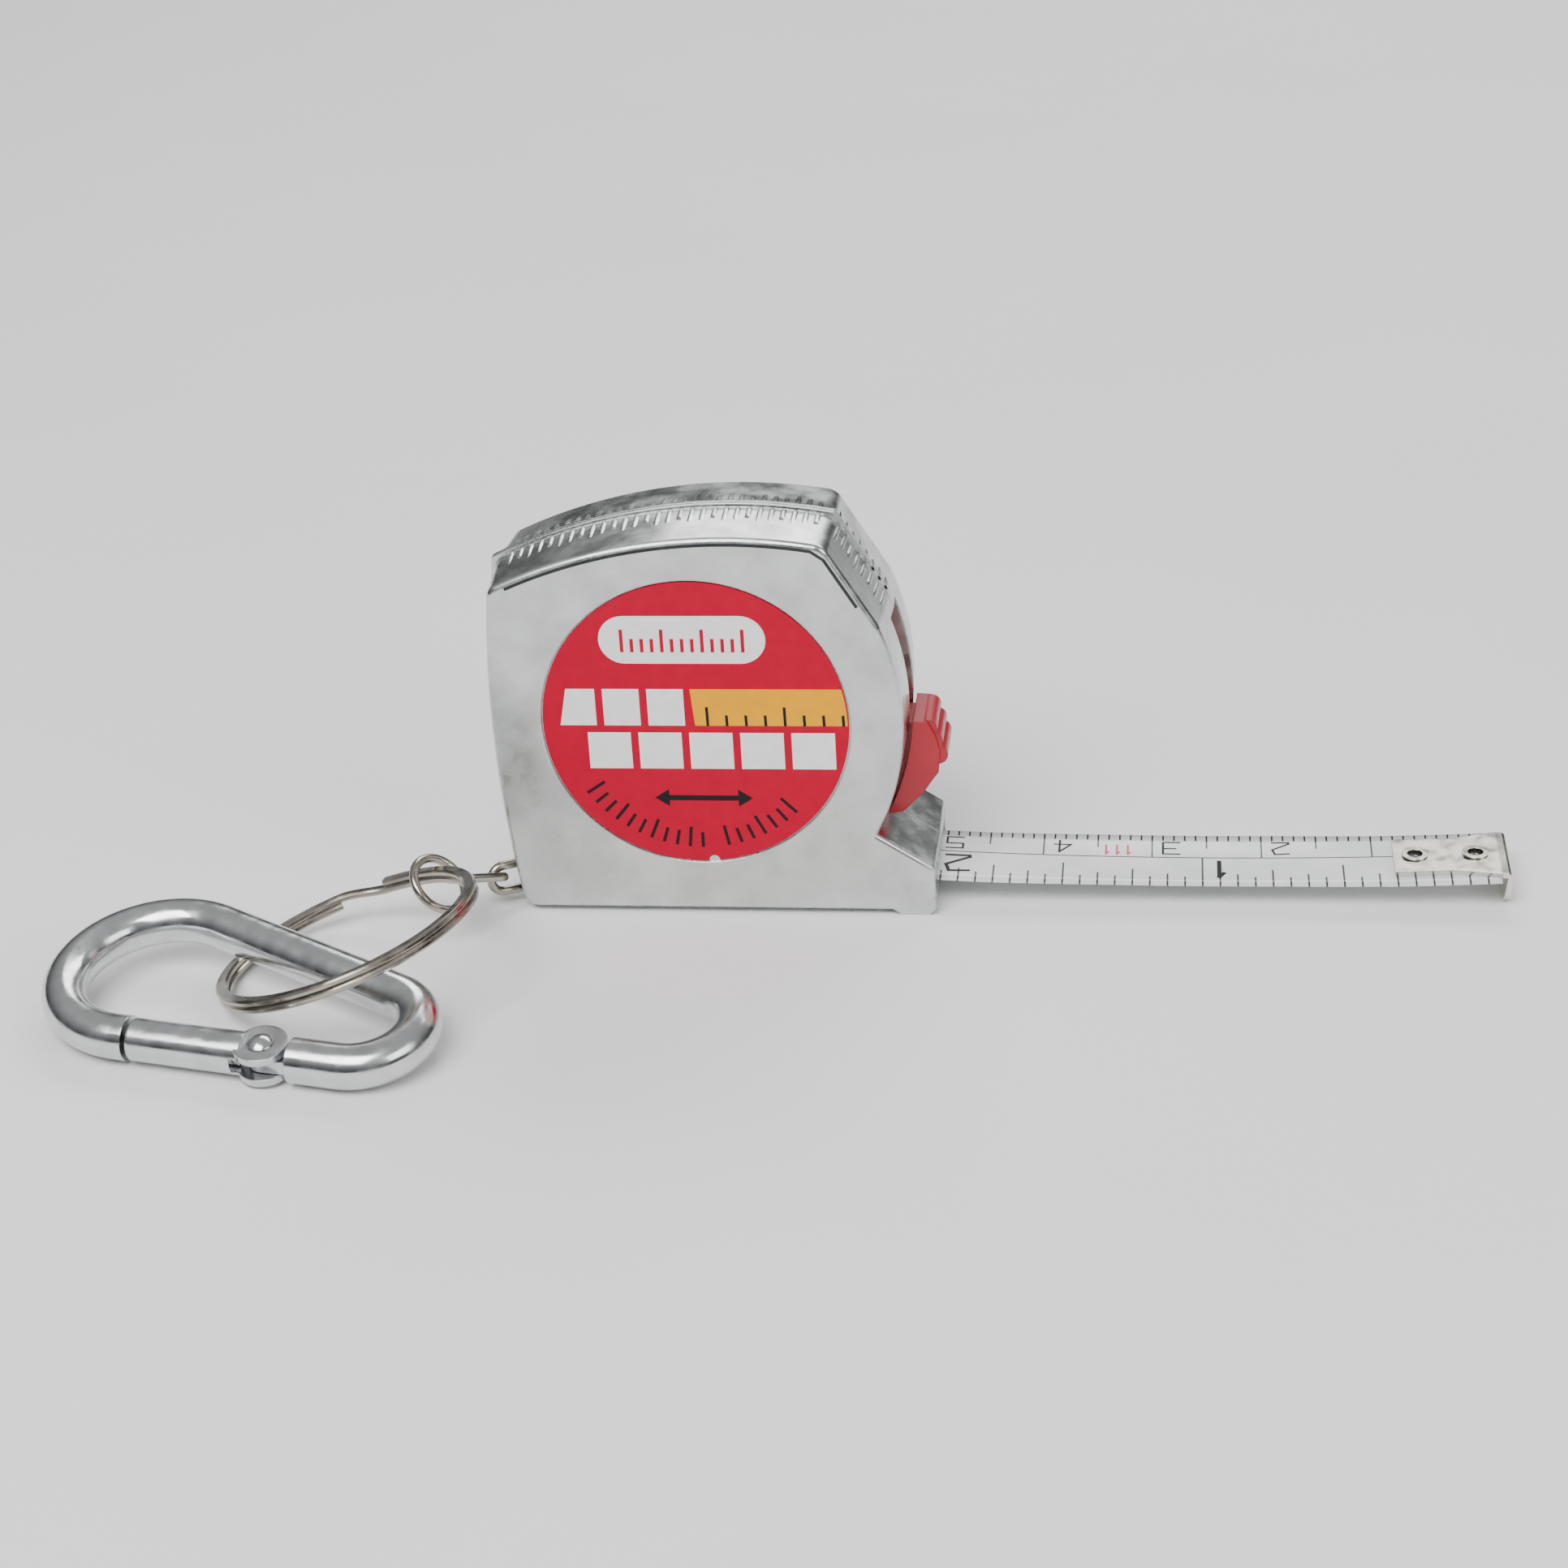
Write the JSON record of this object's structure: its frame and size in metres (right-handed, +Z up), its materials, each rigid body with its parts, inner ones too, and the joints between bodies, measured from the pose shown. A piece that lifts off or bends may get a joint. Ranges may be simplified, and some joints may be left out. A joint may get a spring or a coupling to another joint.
{
  "type": "pocket tape measure",
  "caption": "Key-ring tape measure with a satin-chrome case, red thumb lock, short steel blade pulled part-way out, and a chain, split ring and snap hook at its rear corner.",
  "frame": {"origin": "on the flat base of the case, midway along it, on the plane where the two halves meet", "axes": "+X the way the blade pulls out, +Y away from the labelled face, +Z up"},
  "size_m": [0.1292, 0.0464, 0.0378],
  "materials": {
    "frosted_chrome": "satin",
    "red_plastic": "glossy",
    "label_print": "glossy",
    "screw_steel": "brushed",
    "white_nylon": "matte",
    "grey_nylon": "matte",
    "spring_steel": "satin",
    "painted_blade": "satin",
    "bright_nickel": "polished",
    "zinc_plate": "polished"
  },
  "bodies": {
    "case": {"front_shell": "frosted_chrome", "rear_shell": "frosted_chrome", "front_label": "label_print", "case_screw": "screw_steel", "spring_arbor": "white_nylon", "anchor_pin": "bright_nickel"},
    "blade": {"tape_blade": "painted_blade", "end_hook": "bright_nickel", "hook_eyelets": "bright_nickel"},
    "drum": {"drum": "grey_nylon", "drum_cover": "grey_nylon", "power_spring": "spring_steel", "tape_coil": "painted_blade"},
    "lock": {"lock_slider": "red_plastic"},
    "link_1": {"chain_link_1": "bright_nickel"},
    "link_2": {"chain_link_2": "bright_nickel"},
    "jump": {"jump_ring": "bright_nickel"},
    "ring": {"split_ring": "bright_nickel"},
    "snap": {"carabiner_body": "zinc_plate", "gate_rivet": "zinc_plate"},
    "gate": {"carabiner_gate": "zinc_plate", "gate_plunger": "screw_steel", "gate_spring": "spring_steel"}
  },
  "joints": [
    {"name": "blade_slide", "type": "slide", "parent": "case", "child": "blade", "axis": [1, 0, 0], "range_m": [-0.05, 0.95], "deforming": ["tape_blade"]},
    {"name": "drum_spin", "type": "hinge", "parent": "case", "child": "drum", "pos_m": [-0.0011, 0, 0.01864], "axis": [0, -1, 0], "range_deg": [-240, 4260]},
    {"name": "lock_slide", "type": "hinge", "parent": "case", "child": "lock", "pos_m": [-0.0069, 0, 0.01875], "axis": [0, -1, 0], "range_deg": [0, 20]},
    {"name": "link_1_swing", "type": "hinge", "parent": "case", "child": "link_1", "pos_m": [-0.017, -0.0036, 0.00185], "axis": [0, 0, 1], "range_deg": [-60, 0]},
    {"name": "link_2_swing", "type": "hinge", "parent": "link_1", "child": "link_2", "pos_m": [-0.02127, -0.00622, 0.00215], "axis": [-0.0151, 0.139, 0.9902], "range_deg": [-20, 20]},
    {"name": "jump_ring_swing", "type": "hinge", "parent": "link_2", "child": "jump", "pos_m": [-0.02388, -0.01005, 0.00439], "axis": [-0.8346, 0.4646, -0.2959], "range_deg": [-10, 20]},
    {"name": "split_ring_swing", "type": "hinge", "parent": "jump", "child": "ring", "pos_m": [-0.02482, -0.0111, 0.00547], "axis": [-0.7764, 0.5327, -0.3367], "range_deg": [0, 40]},
    {"name": "snap_hook_swing", "type": "hinge", "parent": "ring", "child": "snap", "pos_m": [-0.04328, -0.01821, 0.00379], "axis": [-0.8756, 0.4809, 0.0454], "range_deg": [0, 50]},
    {"name": "gate_pivot", "type": "hinge", "parent": "snap", "child": "gate", "pos_m": [-0.03515, -0.03613, 0.00151], "axis": [0.0239, 0.1371, -0.9903], "range_deg": [0, 24], "stiffness_Nm_per_rad": 0.01, "springref_deg": -11.46}
  ],
  "couplings": [
    {"joint": "drum_spin", "follows": "blade_slide", "rad_per_m": 78}
  ]
}
